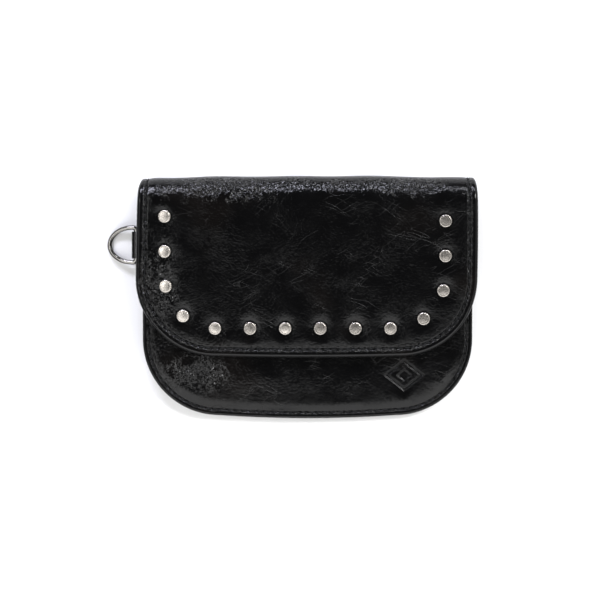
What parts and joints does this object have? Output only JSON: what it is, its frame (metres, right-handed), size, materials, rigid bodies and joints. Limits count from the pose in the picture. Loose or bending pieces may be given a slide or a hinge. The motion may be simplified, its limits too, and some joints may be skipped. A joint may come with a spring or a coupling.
{
  "type": "chain wallet",
  "caption": "Small flat wallet whose studded flap folds over the front from the top, with a magnetic snap, card pockets and a side ring for a chain.",
  "frame": {"origin": "centre of the back face, which is the face the wallet lies on", "axes": "+X to the right along the width, +Y towards the top fold, +Z out through the front"},
  "size_m": [0.1429, 0.0933, 0.0178],
  "materials": {
    "black_leather": "polished full-grain leather, near black, glazed over a fine crackled grain",
    "lining_leather": "matt black lining leather",
    "thread": "waxed black sewing thread",
    "nickel": "satin nickel plate",
    "board": "grey-brown stiffening board"
  },
  "bodies": {
    "body": {"back_leather": "black_leather", "back_lining": "lining_leather", "back_stitching": "thread", "card_pocket_1": "lining_leather", "card_pocket_2": "lining_leather", "card_pocket_3": "lining_leather", "gusset_left": "black_leather", "gusset_right": "black_leather", "ring_tab": "black_leather"},
    "ring": {"d_ring": "nickel"},
    "spine_lower": {"spine_lower_leather": "black_leather", "spine_lower_lining": "lining_leather"},
    "spine_upper": {"spine_upper_leather": "black_leather", "spine_upper_lining": "lining_leather"},
    "flap": {"flap_leather": "black_leather", "flap_stiffener": "board", "flap_lining": "lining_leather", "flap_stitching": "thread", "flap_snap": "nickel", "stud_backs": "nickel", "stud_01": "nickel", "stud_02": "nickel", "stud_03": "nickel", "stud_04": "nickel", "stud_05": "nickel", "stud_06": "nickel", "stud_07": "nickel", "stud_08": "nickel", "stud_09": "nickel", "stud_10": "nickel", "stud_11": "nickel", "stud_12": "nickel", "stud_13": "nickel", "stud_14": "nickel"},
    "front": {"front_leather": "black_leather", "front_lining": "lining_leather", "front_stitching": "thread", "front_snap": "nickel"}
  },
  "joints": [
    {"name": "flap_fold", "type": "hinge", "parent": "body", "child": "spine_lower", "pos_m": [0, 0.04215, 0.00117], "axis": [-1, 0, 0], "range_deg": [0, 58]},
    {"name": "flap_fold_middle", "type": "hinge", "parent": "spine_lower", "child": "spine_upper", "pos_m": [0, 0.0465, 0.00871], "axis": [-1, 0, 0], "range_deg": [0, 58]},
    {"name": "flap_fold_front", "type": "hinge", "parent": "spine_upper", "child": "flap", "pos_m": [0, 0.04215, 0.01625], "axis": [-1, 0, 0], "range_deg": [0, 58]},
    {"name": "front_open", "type": "hinge", "parent": "body", "child": "front", "pos_m": [0, -0.0465, 0.0021], "axis": [1, 0, 0], "range_deg": [0, 11.6]},
    {"name": "ring_swing", "type": "hinge", "parent": "body", "child": "ring", "pos_m": [-0.06615, 0.0203, 0.0029], "axis": [0, 1, 0], "range_deg": [0, 80]}
  ],
  "couplings": [
    {"joint": "flap_fold_middle", "follows": "flap_fold", "ratio": 1},
    {"joint": "flap_fold_front", "follows": "flap_fold", "ratio": 1},
    {"joint": "front_open", "follows": "flap_fold", "ratio": 0.2}
  ]
}
